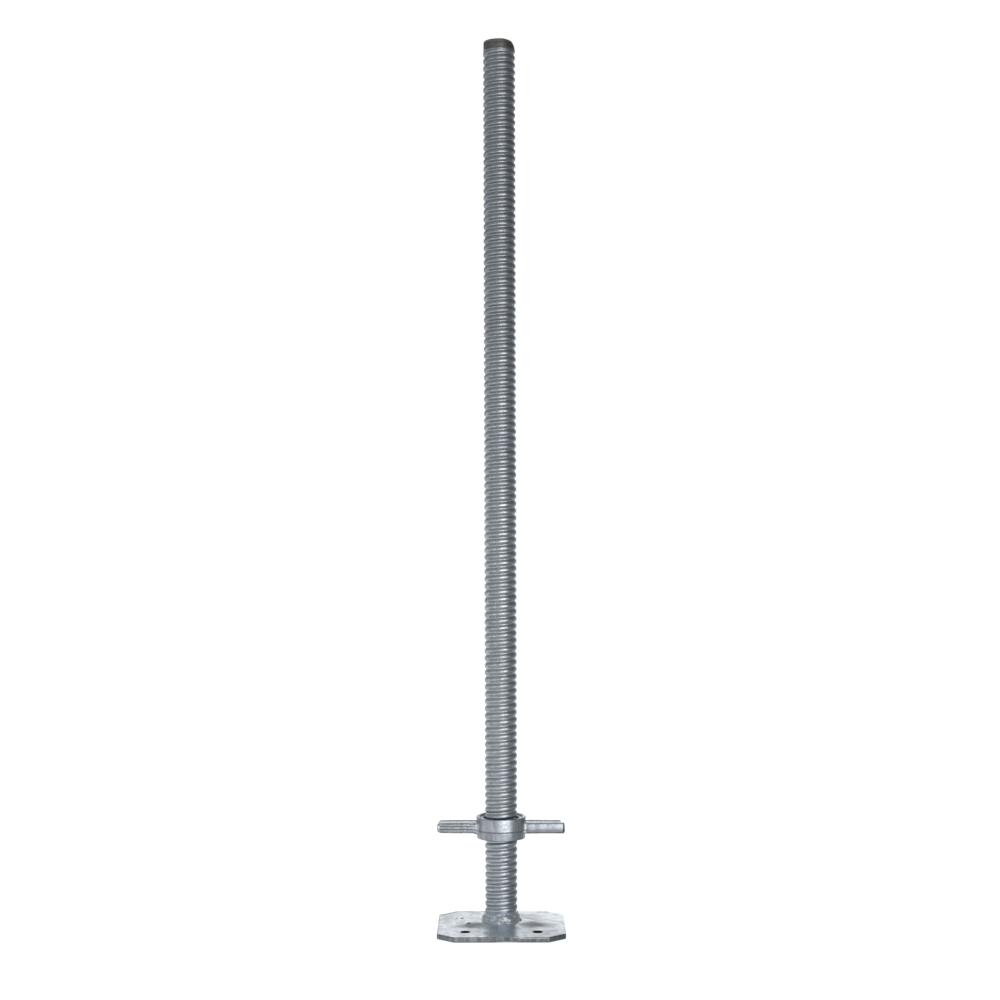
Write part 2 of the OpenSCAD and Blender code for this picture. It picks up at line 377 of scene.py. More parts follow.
def nutExtra(tree, where, colour, rough):
    # fine streaks, upright on the ring and lengthways on the arms
    upright, lengthways = (noiseAt(tree, stretched(tree, where, factors), 520.0, 3.0, 0.65)
                           for factors in ((1.0, 1.0, 0.1), (0.1, 1.0, 1.0)))
    onArm = ease(tree, calc(tree, "ABSOLUTE", axesOf(tree, where)["X"]), nutLook["armFrom"], nutLook["armTo"])
    streak = calc(tree, "MULTIPLY_ADD", calc(tree, "SUBTRACT", lengthways, upright), onArm, upright)
    amount = ease(tree, onArm, 0.0, 1.0, nutLook["ringStreak"], nutLook["armStreak"])
    colour = tinted(tree, colour, ease(tree, streak, 0.52, 0.34), amount, greyTone(0.42))
    # painted highlight on the front of the ring
    colour = tinted(tree, colour, attributeAt(tree, "paintedSheen"), nutLook["paintedSheen"], greyTone(1.0))
    # mostly painted shade, partly dirt and marks: darker in the crease, the finger grooves and the gap, and
    # along the edges
    patchy = calc(tree, "MULTIPLY_ADD", noiseAt(tree, where, 300.0, 3.0), 0.8, 0.55, clamp=True)
    grimeAndShade = calc(tree, "MULTIPLY", attributeAt(tree, "grimeAndShade"), patchy)
    colour = blendColour(tree, grimeAndShade, colour, greyTone(0.10, 0.2))
    rough = calc(tree, "MULTIPLY_ADD", grimeAndShade, nutLook["dirtRough"], rough)
    return colour, rough


stemZinc = zincFinish("stemZinc", stemLook, stemExtra)
plateZinc = zincFinish("plateZinc", plateLook, plateExtra)
weldZinc = zincFinish("weldZinc", weldLook)
nutZinc = zincFinish("nutZinc", nutLook, nutExtra)
print("finishes ready")


# ---- the threaded stem: a tube whose shell follows the rope thread ----

stemSizes = {
    "crestRadius": 18.95, "grooveDepth": 1.68, "pitch": 8.5, "footHeight": 18.2, "threadTop": 1038.6,
    "endRadius": 18.5, "topHeight": 1050.0, "rimBevel": 2.1, "boreRadius": 14.5, "unevenness": 0.09,
    "grooveShape": 1.7,  # a power: the higher, the narrower the groove
    "columns": 60, "rowsPerTurn": 12, "seed": 7,
}


def buildStemTree():
    sockets = [("Geometry", "NodeSocketGeometry", None)]
    for key, value in stemSizes.items():
        sockets.append((labelOf(key), "NodeSocketInt" if isinstance(value, int) else "NodeSocketFloat", 0))
    sockets += [("Turns", "NodeSocketInt", 0), ("Finish", "NodeSocketMaterial", None)]
    tree, given, result = newGroup("ropeThreadTube", "GeometryNodeTree", sockets,
                                   [("Geometry", "NodeSocketGeometry")])

    def do(operation, *terms, clamp=False):
        return calc(tree, operation, *terms, clamp=clamp)

    def isMore(value, limit):
        return addNode(tree, "FunctionNodeCompare", {"A": value, "B": limit},
                       operation="GREATER_THAN").outputs[0]

    crest, pitch, foot, top, endRadius, high, bevel, bore = (
        given[label] for label in ("Crest Radius", "Pitch", "Foot Height", "Thread Top",
                                   "End Radius", "Top Height", "Rim Bevel", "Bore Radius"))
    # the rows past the thread walk over the plain end, down the bore and back to the foot, as
    # radius and height
    beyond = [
        (do("SUBTRACT", crest, 0.00012), do("ADD", top, 0.00035)),
        (do("ADD", endRadius, 0.00006), do("ADD", top, 0.0009)),
        (endRadius, do("ADD", top, 0.0016)),
        (endRadius, do("ADD", top, 0.005)),
        (endRadius, do("SUBTRACT", high, bevel)),
        (do("MULTIPLY_ADD", bevel, -0.3, endRadius), do("MULTIPLY_ADD", bevel, -0.32, high)),
        (do("MULTIPLY_ADD", bevel, -0.95, endRadius), high),
        (do("ADD", bore, 0.0004), high),
        (bore, do("SUBTRACT", high, 0.0004)),
        (bore, do("SUBTRACT", high, 0.03)),
        (bore, foot),
        (crest, foot),
    ]
    threadRows = do("MULTIPLY", given["Rows Per Turn"], given["Turns"])
    allRows = do("ADD", threadRows, float(len(beyond)))
    sheet = addNode(tree, "GeometryNodeMeshGrid", {
        "Size X": 1.0, "Size Y": 1.0, "Vertices X": do("ADD", given["Columns"], 1.0),
        "Vertices Y": do("ADD", allRows, 1.0)})
    place = axesOf(tree, addNode(tree, "GeometryNodeInputPosition").outputs[0])
    turn = do("ADD", place["X"], 0.5)
    row = do("ROUND", do("MULTIPLY", do("ADD", place["Y"], 0.5), allRows))

    # height and depth along the thread; the groove climbs one pitch in a turn
    step = do("DIVIDE", row, given["Rows Per Turn"])
    climb = do("MULTIPLY", pitch, do("ADD", do("SUBTRACT", step, 1.0), turn))
    height = do("MINIMUM", do("MAXIMUM", do("ADD", foot, climb), foot), top)
    wave = do("MULTIPLY_ADD", do("COSINE", do("MULTIPLY", do("FRACT", step), math.tau)), -0.5, 0.5)
    runOut = do("DIVIDE", do("SUBTRACT", top, height), do("MULTIPLY", pitch, 0.5), clamp=True)
    runIn = do("DIVIDE", do("SUBTRACT", height, foot), do("MULTIPLY", pitch, 0.3), clamp=True)
    depth = do("MULTIPLY", do("POWER", wave, given["Groove Shape"]), do("MULTIPLY", runOut, runIn))
    threadRadius = do("SUBTRACT", crest, do("MULTIPLY", depth, given["Groove Depth"]))

    past = do("SUBTRACT", row, threadRows)
    isPast = isMore(past, 0.5)

    def pick(values):
        node = addNode(tree, "GeometryNodeIndexSwitch", data_type="FLOAT")
        while len(node.index_switch_items) < len(values):
            node.index_switch_items.new()
        plug(tree, node.inputs["Index"], do("SUBTRACT", past, 1.0))
        for i, value in enumerate(values):
            plug(tree, node.inputs[i + 1], value)
        return node.outputs[0]

    def choose(switch, otherwise, chosen):
        node = addNode(tree, "GeometryNodeSwitch", input_type="FLOAT")
        for socket, value in zip(node.inputs, (switch, otherwise, chosen)):
            plug(tree, socket, value)
        return node.outputs[0]

    radius = choose(isPast, threadRadius, pick([r for r, z in beyond]))
    level = choose(isPast, height, pick([z for r, z in beyond]))
    depth = choose(isPast, depth, 0.0)
    angle = do("MULTIPLY", turn, math.tau)
    across, ahead = do("COSINE", angle), do("SINE", angle)

    def onTube(distance):
        x, y = do("MULTIPLY", across, distance), do("MULTIPLY", ahead, distance)
        return addNode(tree, "ShaderNodeCombineXYZ", {"X": x, "Y": y, "Z": level}).outputs[0]

    # a little unevenness in the rolled shell, the same on both sides of the seam
    lumps = addNode(tree, "ShaderNodeTexNoise",
                    {"Vector": onTube(radius), "W": given["Seed"], "Scale": 150.0, "Detail": 2.0},
                    noise_dimensions="4D")
    push = do("MULTIPLY", do("SUBTRACT", lumps.outputs["Fac"], 0.62), given["Unevenness"])
    outside = isMore(radius, do("ADD", bore, 0.001))
    target = onTube(do("ADD", radius, choose(outside, 0.0, push)))

    def after(geometry, kind, ins=None, **settings):
        return addNode(tree, kind, {"Geometry": geometry, **(ins or {})}, **settings).outputs[0]

    # the groove's depth is kept for the finish, before the grid is rolled up
    shape = after(sheet.outputs["Mesh"], "GeometryNodeStoreNamedAttribute",
                  {"Name": "groove", "Value": depth}, data_type="FLOAT", domain="POINT")
    shape = after(shape, "GeometryNodeSetPosition", {"Position": target})
    shape = after(shape, "GeometryNodeMergeByDistance", {"Distance": 0.00001})
    shape = after(shape, "GeometryNodeSetShadeSmooth", {"Shade Smooth": True})
    bend = addNode(tree, "GeometryNodeInputMeshEdgeAngle").outputs["Unsigned Angle"]
    shape = after(shape, "GeometryNodeSetShadeSmooth",
                  {"Selection": isMore(bend, 0.9), "Shade Smooth": False}, domain="EDGE")
    shape = after(shape, "GeometryNodeRealizeInstances")
    plug(tree, result["Geometry"], after(shape, "GeometryNodeSetMaterial", {"Material": given["Finish"]}))
    return tree


def growFromTree(name, tree, values):
    # runs a geometry tree on an empty mesh and returns the result as a plain object
    holder = linkNew(name + "Seed", bpy.data.meshes.new(name + "Seed"))
    modifier = holder.modifiers.new("grow", "NODES")
    modifier.node_group = tree
    sockets = {s.name: s.identifier for s in tree.interface.items_tree if s.in_out == "INPUT"}
    for key, value in values.items():
        modifier[sockets[key]] = value
    graph = bpy.context.evaluated_depsgraph_get()
    mesh = bpy.data.meshes.new_from_object(holder.evaluated_get(graph))
    holder.modifiers.remove(modifier)
    bpy.data.objects.remove(holder)
    mesh.name = name
    return linkNew(name, mesh)


def buildStem():
    values = {labelOf(key): size if isinstance(size, int) else size * mm
              for key, size in stemSizes.items()}
    values["Groove Shape"] = stemSizes["grooveShape"]
    length = stemSizes["threadTop"] - stemSizes["footHeight"]
    values["Turns"] = math.ceil(length / stemSizes["pitch"]) + 1
    values["Finish"] = stemZinc
    return growFromTree("ropeStem", buildStemTree(), values)


stem = buildStem()
print("stem made:", len(stem.data.polygons), "faces")


# ---- solids that are first a field of distances, then a skin ----

def softMin(a, b, reach):
    overlap = np.clip(reach - np.abs(a - b), 0, None) / reach
    return np.minimum(a, b) - overlap * overlap * reach / 4


def softMax(a, b, reach):
    return -softMin(-a, -b, reach)


def rampUp(value, start, end):
    t = np.clip((value - start) / (end - start), 0, 1)
    return t * t * (3 - 2 * t)


def ridgeAt(value, middle, half, power=2):
    # 1 at the middle, fading out on both sides
    return np.exp(-((value - middle) / half) ** power)


def spotAt(x, y, cx, cy, area):
    return np.exp(-((x - cx) ** 2 + (y - cy) ** 2) / area)


def skinOf(name, fieldAt, values, finish):
    # values has the box that the field fills, its step, and the waves and seed of the unevenness
    low, high = values["box"]
    step = values["step"]
    axes = [np.arange(a, b + step, step) for a, b in zip(low, high)]
    field = fieldAt(*np.meshgrid(*axes, indexing="ij"))
    grid = openvdb.FloatGrid(10.0)
    grid.copyFromArray(np.clip(field, -10, 10).astype(np.float32))
    points, quads = grid.convertToQuads(isovalue=0.0)
    points = points * step + np.array(low)
    mesh = bpy.data.meshes.new(name)
    mesh.from_pydata((points * mm).tolist(), [], quads[:, ::-1].tolist())
    mesh.validate()
    if signedVolume(mesh) < 0:
        mesh.flip_normals()
    mesh.update()
    roughen(mesh, values["waves"], values["seed"])
    mesh.shade_smooth()
    mesh.materials.append(finish)
    return linkNew(name, mesh)


def signedVolume(mesh):
    mesh.calc_loop_triangles()
    corners = np.empty(len(mesh.vertices) * 3)
    mesh.vertices.foreach_get("co", corners)
    corners = corners.reshape(-1, 3)
    index = np.empty(len(mesh.loop_triangles) * 3, np.int32)
    mesh.loop_triangles.foreach_get("vertices", index)
    a, b, c = (corners[index.reshape(-1, 3)[:, i]] for i in range(3))
    return float(np.einsum("ij,ij->i", a, np.cross(b, c)).sum()) / 6


def roughen(mesh, waves, seed):
    # pushes each point in along its normal by noise; waves are (depth, length) pairs
    shift = Vector((seed * 3.1, seed * 1.7, seed * 0.9))
    pushed = []
    for vertex in mesh.vertices:
        depth = sum(size * (noise.noise(vertex.co / (length * mm) + shift) - 0.55) for size, length in waves)
        pushed.append(vertex.co + vertex.normal * depth * mm)
    mesh.vertices.foreach_set("co", [c for p in pushed for c in p])
    mesh.update()


def setAttribute(mesh, name, values):
    layer = mesh.attributes.new(name, "FLOAT", "POINT")
    layer.data.foreach_set("value", np.asarray(values, np.float32))


def pointsOf(mesh):
    flat = np.empty(len(mesh.vertices) * 3)
    mesh.vertices.foreach_get("co", flat)
    return flat.reshape(-1, 3) / mm


def movePoints(mesh, points):
    mesh.vertices.foreach_set("co", (points * mm).ravel())
    mesh.update()


# a knock on the right of the tube's rim: its depth, and where it starts and is full
rimDent = {"depth": 3.4, "lowest": 1041.0, "highest": 1051.0, "startX": 1.0, "fullX": 15.0}


def bendRim(mesh):
    p = pointsOf(mesh)
    x, z = p[:, 0], p[:, 2]
    amount = rampUp(z, rimDent["lowest"], rimDent["highest"]) * rampUp(x, rimDent["startX"], rimDent["fullX"])
    p[:, 0] = x - rimDent["depth"] * amount
    movePoints(mesh, p)


bendRim(stem.data)


# ---- the pressed plate ----

plate = {
    "half": 75.0, "cut": 20.0, "thick": 6.0, "rise": 5.5, "seat": 20.5, "out": 63.0, "inset": 1.2,
    "bend": 0.7,  # how far the back edge is bent up
    "padFlat": 20.0, "padEnd": 35.0, "padX": 42.0, "padY": 44.0,
    "padShift": (8.0, 6.0),  # the front right pad was pressed a little out of place
    "pressRound": 1.2, "faceRound": 0.4, "edgeRound": 0.8, "holeRound": 0.9,
    "holes": [(-42.0, -44.0), (42.0, -44.0)], "holeRadius": 5.5,
    # a faint ridge runs on to the front edge: x, half its width, where it starts and is full, height
    "ridge": (6.0, 15.0, 36.0, 68.0, 1.0),
    # painted highlight: the pale top edge of the front on the right
    "paleEdge": (14.0, 1.1),  # right of this x the front's top edge is pale, this far down
    "dullEdge": 0.6,  # the top is dull along the left half's edges, and wider so at the back
    # painted shadow: the black foot stands for the shadow in the gap under the front's middle
    "blackFoot": (1.0, 15.0),  # the foot of the front is black in the middle: x, half width
    "box": ((-77.0, -77.0, -2.0), (77.0, 77.0, 15.0)), "step": 0.8,
    "waves": [(0.22, 28.0), (0.07, 6.0)], "seed": 3,
    # lumps of dross: x, y, radius, height
    "dross": [(-46.7, 33.0, 2.6, 0.8), (-53.5, 34.0, 1.9, 0.6), (-38.8, -8.0, 2.9, 0.8),
              (-42.7, -64.0, 1.3, 0.4), (-18.0, -55.0, 1.5, 0.4), (40.7, 18.8, 1.5, 0.4),
              (13.0, -60.0, 1.1, 0.3), (60.0, -20.0, 1.0, 0.3), (-63.0, -8.0, 1.0, 0.25),
              (25.0, 52.0, 1.4, 0.4), (-20.0, 61.0, 1.2, 0.35)],
    # painted light and shade, as darker and brighter areas: x, y, reach, change
    "paintedLightAndShade": [(52.0, -54.0, 28.0, -0.39), (33.0, 30.0, 20.0, -0.52), (62.0, 42.0, 22.0, 0.38),
              (-70.0, 26.0, 14.0, -0.16), (-27.0, 14.0, 8.0, -0.35), (-25.0, -51.0, 12.0, -0.30),
              (-51.0, -16.0, 9.0, -0.24), (-37.0, -16.0, 10.0, -0.24), (56.0, -12.0, 10.0, -0.34),
              (44.0, -9.0, 11.0, -0.42), (20.0, -22.0, 8.0, 0.25), (-36.0, 12.0, 9.0, 0.1),
              (0.0, -50.0, 14.0, -0.06), (28.0, -73.0, 5.0, -0.16), (38.0, -73.0, 5.0, -0.16),
              (-20.0, -44.0, 7.0, -0.12), (24.0, -56.0, 9.0, -0.14)],
}


def pressedHeight(x, y, inset):
    # a low cone with a flat seat, fading to nothing at the four corner pads
    r = np.hypot(x, y)
    span = plate["out"] - plate["seat"]
    rise = softMin((plate["out"] - inset - r) / span * plate["rise"], plate["rise"], plate["pressRound"])
    rise = softMax(rise, 0.0, plate["pressRound"])
    for sx in (-1, 1):
        for sy in (-1, 1):
            dx, dy = plate["padShift"] if sx > sy else (0.0, 0.0)
            gap = np.hypot(x - sx * plate["padX"] - dx, y - sy * plate["padY"] - dy)
            fade = (gap - plate["padFlat"] - inset) / (plate["padEnd"] - plate["padFlat"])
            rise = rise * softMin(softMax(fade, 0.0, 0.2), 1.0, 0.25)
    middle, half, start, full, height = plate["ridge"]
    return rise + height * ridgeAt(x, middle, half, 4) * rampUp(-y, start, full)


def bentUp(y):
    return plate["bend"] * np.clip(0.5 + 0.5 * y / plate["half"], 0, 1) ** 2


def outlineAt(x, y):
    return np.maximum(np.maximum(np.abs(x), np.abs(y)) - plate["half"],
                      (np.abs(x) + np.abs(y) - 2 * plate["half"] + plate["cut"]) / math.sqrt(2))


def plateField(x, y, z):
    z = z - bentUp(y)
    top = plate["thick"] + pressedHeight(x, y, 0.0)
    foot = pressedHeight(x, y, plate["inset"]) - 0.1
    body = softMax(z - top, foot - z, plate["faceRound"]) * 0.95
    body = softMax(body, outlineAt(x, y) + 0.05, plate["edgeRound"])
    for hx, hy in plate["holes"]:
        body = softMax(body, plate["holeRadius"] - np.hypot(x - hx, y - hy), plate["holeRound"])
    for hx, hy, radius, height in plate["dross"]:
        body = body - height * spotAt(x, y, hx, hy, radius * radius * 0.5) * (z > plate["thick"] * 0.6)
    return body


def buildPlate():
    made = skinOf("pressedPlate", plateField, plate, plateZinc)
    p = pointsOf(made.data)
    x, y, z = p.T
    # the foot is cut flat where it meets the ground
    p[:, 2] = np.maximum(z, 0.0)
    movePoints(made.data, p)
    top = plate["thick"] + pressedHeight(x, y, 0.0) + bentUp(y)
    edge = outlineAt(x, y)
    # painted highlight: on the right the front's top edge is left pale
    paleX, paleDepth = plate["paleEdge"]
    pale = np.where((x > paleX) & (y < -70), paleDepth, 0.0)
    side = rampUp(edge, -0.9, -0.3) * (1 - rampUp(z - top, -0.8 - pale, -0.3 - pale))
    leftTop = plate["dullEdge"] * (x < -4) * (z > 4)
    side = np.maximum(side, leftTop * rampUp(edge, -1.9, -1.0))
    side = np.maximum(side, leftTop * rampUp(edge, -6.5, -4.5) * (y > 50))
    # painted shadow under the middle of the front's foot
    middle, half = plate["blackFoot"]
    side = np.maximum(side, 1.2 * ridgeAt(x, middle, half, 6) * (y < -73) * (1 - rampUp(z, 0.8, 1.8)))
    # painted shade: the rims of the holes are black, more widely in front and behind
    for hx, hy in plate["holes"]:
        rim = np.hypot(x - hx, 0.78 * (y - hy)) - plate["holeRadius"]
        side = np.maximum(side, 1.25 * (1 - rampUp(rim, 0.1, 0.7)))
    setAttribute(made.data, "side", side)
    lump = sum(spotAt(x, y, hx, hy, radius * radius * 0.45) for hx, hy, radius, height in plate["dross"])
    setAttribute(made.data, "dross", np.clip(1.4 * lump, 0, 1) * (z > plate["thick"] - 1))
    # painted light and shade, as darker and brighter areas
    tone = sum(change * spotAt(x, y, px, py, reach * reach) for px, py, reach, change in plate["paintedLightAndShade"])
    setAttribute(made.data, "tone", tone)
    return made


plateSkin = buildPlate()
print("plate made:", len(plateSkin.data.polygons), "faces")


# ---- the weld: overlapping beads round the foot of the stem ----

weld = {
    "base": 11.3, "height": 10.6, "foot": 9.8, "top": 21.8, "inner": 19.1, "inside": 15.2, "leg": 4.3,
    "toe": 0.9, "ripple": 0.28, "wander": 0.25,
    "box": ((-28.0, -28.0, 10.0), (28.0, 28.0, 24.0)), "step": 0.36,
    "waves": [(0.6, 5.0), (0.25, 2.1)], "seed": 5,
    "dropLength": 1.7, "dropBlend": 1.6,
    # small lumps and spatter: angle in degrees from +X, radius, height, size
    "drops": [(-6.0, 23.0, 12.6, 1.1), (-94.0, 22.2, 16.2, 1.5), (-80.0, 21.4, 19.8, 1.7),
              (-101.0, 23.0, 12.8, 1.5), (-128.0, 22.3, 14.6, 1.6), (-142.0, 20.8, 19.2, 1.5),
              (-62.0, 22.0, 14.8, 1.5), (-38.0, 21.0, 18.2, 1.4), (20.0, 21.8, 15.5, 1.7),
              (64.0, 22.4, 14.4, 1.6), (101.0, 21.2, 18.4, 1.5), (140.0, 22.2, 14.9, 1.7),
              (-152.0, 24.0, 12.4, 1.5), (-163.0, 22.2, 16.8, 1.5), (-117.0, 21.2, 18.9, 1.3)],
}


def weldField(x, y, z):
    r, angle = np.hypot(x, y), np.arctan2(y, x)
    above = z - weld["base"]
    t = np.clip(above / weld["height"], 0, 1.2)
    # full and round on the left, leaner on the right, with a crease between its two passes
    bulge = 1.45 - 0.35 * np.cos(angle) + 0.12 * np.sin(3 * angle + 1.0)
    out = weld["inner"] + weld["leg"] * (1 - t ** bulge)
    out = out + weld["ripple"] * np.cos(13.0 * t + 0.8 * np.sin(2 * angle + 0.6))
    out = out + weld["wander"] * np.sin(5 * angle + 2.1 * t) * (1 - t)
    out = out + weld["toe"] * np.exp(-np.clip(above, 0, None) / 0.9)
    body = (r - out) * 0.85
    for turn, reach, up, size in weld["drops"]:
        cosine, sine = math.cos(math.radians(turn)), math.sin(math.radians(turn))
        along = (y * cosine - x * sine) / weld["dropLength"]
        outward = x * cosine + y * sine - reach
        drop = np.sqrt(outward ** 2 + along ** 2 + (z - up) ** 2) - size
        body = softMin(body, drop, weld["dropBlend"])
    body = softMax(body, z - weld["top"], 1.2)
    return np.maximum(np.maximum(body, weld["foot"] - z), weld["inside"] - r)


weldSkin = skinOf("lumpyWeld", weldField, weld, weldZinc)
print("weld made:", len(weldSkin.data.polygons), "faces")


# ---- the cast wing nut ----

nut = {
    "foot": 108.5, "top": 134.0, "parting": 118.9, "ringRadius": 29.5, "ringStep": 0.7, "seam": 0.32,
    "askew": 0.04,  # the ring was cast leaning, lower at the front; its bore is upright
    "bore": 19.4, "boreRound": 0.8, "recess": 25.6, "recessFloor": 132.0,
    "middle": 120.75, "armHalf": 11.7, "armHalfHeight": 5.85, "taper": 0.035, "armRound": 1.0,
    "backRise": 0.7,  # the back half of an arm's top stands higher
    "wall": 5.0, "hollow": 119.6, "dishWall": 4.0, "dishFloor": 126.15, "fillet": 1.2,
    "leftTip": 75.7, "rightTip": 75.0, "leftGusset": 1.7, "rightGusset": 0.6,
    "grooves": [(122.9, 0.7), (119.4, 0.9), (116.6, 0.25)],  # on the left arm's front: height, depth
    "box": ((-78.0, -31.0, 105.5), (78.0, 31.0, 137.0)), "step": 0.55,
    "waves": [(0.20, 13.0), (0.10, 3.6)], "seed": 9,
}


def armField(u, y, z, isLeft):
    # u runs outwards along the arm
    lift = (z - nut["middle"]) / nut["armHalfHeight"]
    halfWide = nut["armHalf"] + nut["taper"] * (58 - u) - 0.05 * np.abs(z - nut["parting"])
    if isLeft:
        gusset = nut["leftGusset"] * rampUp(-u, -34.0, -27.5)
    else:
        gusset = nut["rightGusset"]
        # this arm's front is a little rounded
        halfWide = halfWide + 0.25 * np.cos(np.clip(lift, -1, 1) * 1.3) - 0.2
    high = nut["middle"] + nut["armHalfHeight"] + nut["backRise"] * rampUp(y, -2, 2)
    low = nut["middle"] - nut["armHalfHeight"] - gusset
    arm = softMax(np.abs(y) - halfWide, z - high, nut["armRound"])
    arm = softMax(arm, low - z, nut["armRound"])
    dishFloor = nut["dishFloor"] + nut["backRise"] * rampUp(y, -3, 3)
    dish = softMax(np.abs(y + 0.5) - (halfWide - nut["dishWall"]), dishFloor - z, 0.5)
    hollow = softMax(np.abs(y) - (halfWide - nut["wall"]), z - nut["hollow"], 1.2)
    arm = softMax(softMax(arm, -dish, 0.5), -hollow, 0.9)
    back = rampUp(y, -4.0, 4.0)
    if isLeft:
        tip = nut["leftTip"] - np.where(lift > 0, 2.0, 4.4) * np.clip(np.abs(lift), 0, 1.1) ** 4 - 0.3 * back
        for height, depth in nut["grooves"]:
            scratch = ridgeAt(z, height, 0.55) * rampUp(-y, 7.5, 10.0)
            arm = arm + depth * scratch * rampUp(u, 31, 38) * (1 - rampUp(u, 70.5, 75.5))
    else:
        tip = nut["rightTip"] - 0.8 * np.clip(np.abs(lift), 0, 1.2) ** 4 - 3.6 * back
    arm = softMax(arm, u - tip, nut["armRound"])
    return np.maximum(arm, 18 - u)


def nutField(x, y, z):
    r = np.hypot(x, y)
    level = z - nut["askew"] * y
    upper = rampUp(level, nut["parting"] - 0.5, nut["parting"] + 0.4)
    wall = nut["ringRadius"] - 0.02 * np.abs(level - nut["parting"]) - nut["ringStep"] * (1 - upper)
    whole = softMax(r - wall, level - nut["top"], 0.6)
    whole = softMax(whole, nut["foot"] - level, 0.5)
    for sign in (-1, 1):
        whole = softMin(whole, armField(x * sign, y, z, sign < 0), nut["fillet"])
    seam = nut["seam"] * ridgeAt(level, nut["parting"] - 0.5, 0.45)
    whole = whole + seam * (r > 26) * (np.abs(x) < 31)
    whole = softMax(whole, level - nut["top"], 0.5)
    recess = softMax(r - nut["recess"], nut["recessFloor"] - level, 0.5)
    whole = softMax(whole, -recess, nut["boreRound"])
    return softMax(whole, nut["bore"] - r, nut["boreRound"])


nutSkin = skinOf("castNut", nutField, nut, nutZinc)

# how much each place on the nut is darkened, from 0 to 1: mostly painted shade, partly dirt and marks
nutDirtAndShade = {
    "grooves": 0.9, "deepest": 0.75, "frontEdge": 0.95, "rearEdge": 1.0, "rightEdges": 0.75,
    "leftLower": 0.95, "rightLower": 0.3, "film": 0.20, "rightArmShadeLow": 0.2, "rightArmShadeRoot": 0.4,
    "ringLeft": 0.16, "ringLower": 0.07, "crease": 0.4, "footRim": 0.45, "topRim": 0.3,
    "marks": 0.3, "gap": 0.8, "recess": 0.15,
}


def nutGrimeAndShade(x, y, z):
    r = np.hypot(x, y)
    level = z - nut["askew"] * y
    arm = rampUp(np.abs(x), 29.0, 31.0)
    lines = sum(min(depth, nutDirtAndShade["deepest"]) * ridgeAt(z, height, 0.45) for height, depth in nut["grooves"])
    grimeAndShade = nutDirtAndShade["grooves"] * lines * (x < 0) * (y < -8) * arm * rampUp(x, -75.5, -71.0)
    # painted shade: the front and back edges of the arms' tops are darkened as the shadowed trough and a dark
    # outline, and so are their lower edges and the right arm's end
    front = rampUp(-y, 9.2, 10.2) * rampUp(z, 124.9, 125.8)
    rear = rampUp(y, 6.5, 7.4) * rampUp(z, 125.4, 126.1)
    edges = nutDirtAndShade["frontEdge"] * front + nutDirtAndShade["rearEdge"] * rear
    grimeAndShade = grimeAndShade + arm * edges * np.where(x < 0, 1.0, nutDirtAndShade["rightEdges"])
    lower = np.where(x < 0, nutDirtAndShade["leftLower"], nutDirtAndShade["rightLower"])
    grimeAndShade = grimeAndShade + arm * lower * (1 - rampUp(z, 115.4, 116.7)) + rampUp(x, 72.6, 73.4)
    # painted shade on the right arm's front, more low down and at its root by the gusset, and on the ring's
    # left; the ring is also a little darker below the parting line
    film = nutDirtAndShade["film"] + nutDirtAndShade["rightArmShadeLow"] * (1 - rampUp(z, 118.8, 121.2))
    film = film + nutDirtAndShade["rightArmShadeRoot"] * (1 - rampUp(x, 29.0, 34.0))
    grimeAndShade = grimeAndShade + film * arm * (x > 0) * rampUp(-y, 8.0, 10.0) * (z < 125.2)
    ring = nutDirtAndShade["ringLeft"] * rampUp(-x, 2.0, 8.0) + nutDirtAndShade["ringLower"] * (level < nut["parting"] - 0.7)
    # painted shade in the ring's crease under its step and on its lower edge, a darker rim, and dark upright
    # marks on its right
    ring = ring + nutDirtAndShade["crease"] * ridgeAt(level, nut["parting"] - 0.5, 0.5)
    ring = ring + nutDirtAndShade["footRim"] * (1 - rampUp(level, nut["foot"] + 0.4, nut["foot"] + 1.3))
    topRim = rampUp(level, nut["top"] - 1.0, nut["top"] - 0.4) * rampUp(r, 28.2, 28.8)
    ring = ring + nutDirtAndShade["topRim"] * topRim
    marks = rampUp(np.sin(1.9 * x + 1.3 * np.sin(0.7 * z)), 0.0, 0.9) * rampUp(x, 12.0, 18.0)
    ring = ring + nutDirtAndShade["marks"] * marks * (y < 0) * (level > nut["parting"])
    grimeAndShade = grimeAndShade + ring * (1 - arm)
    # painted shade in the gap round the stem, and a darker recess
    grimeAndShade = grimeAndShade + nutDirtAndShade["gap"] * (1 - rampUp(r, 20.2, 21.6))
    grimeAndShade = grimeAndShade + nutDirtAndShade["recess"] * (r < nut["recess"]) * (level > nut["recessFloor"] - 1)
    return np.clip(grimeAndShade, 0, 1)


def nutPaintedSheen(x, y, z):
    # painted highlight: the front of the ring is painted bright
    onUpper = rampUp(z - nut["askew"] * y, nut["parting"], nut["parting"] + 0.9)
    return ridgeAt(x, 3.5, 8.5, 4) * rampUp(-y, 20, 26) * onUpper


setAttribute(nutSkin.data, "paintedSheen", nutPaintedSheen(*pointsOf(nutSkin.data).T))
setAttribute(nutSkin.data, "grimeAndShade", nutGrimeAndShade(*pointsOf(nutSkin.data).T))
print("nut made:", len(nutSkin.data.polygons), "faces")


# ---- bodies and the frame pieces they stand for ----

for piece, body, node, slotName in (
        (stem, "jack_leg", "threaded_stem", "stem_zinc"),
        (plateSkin, "jack_leg", "base_plate", "plate_zinc"),
        (weldSkin, "jack_leg", "base_weld", "weld_zinc"),
        (nutSkin, "height_nut", "wing_nut", "nut_zinc")):
    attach(piece, body)
    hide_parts(node)


# ---- studio: pale floor, soft light, level camera ----

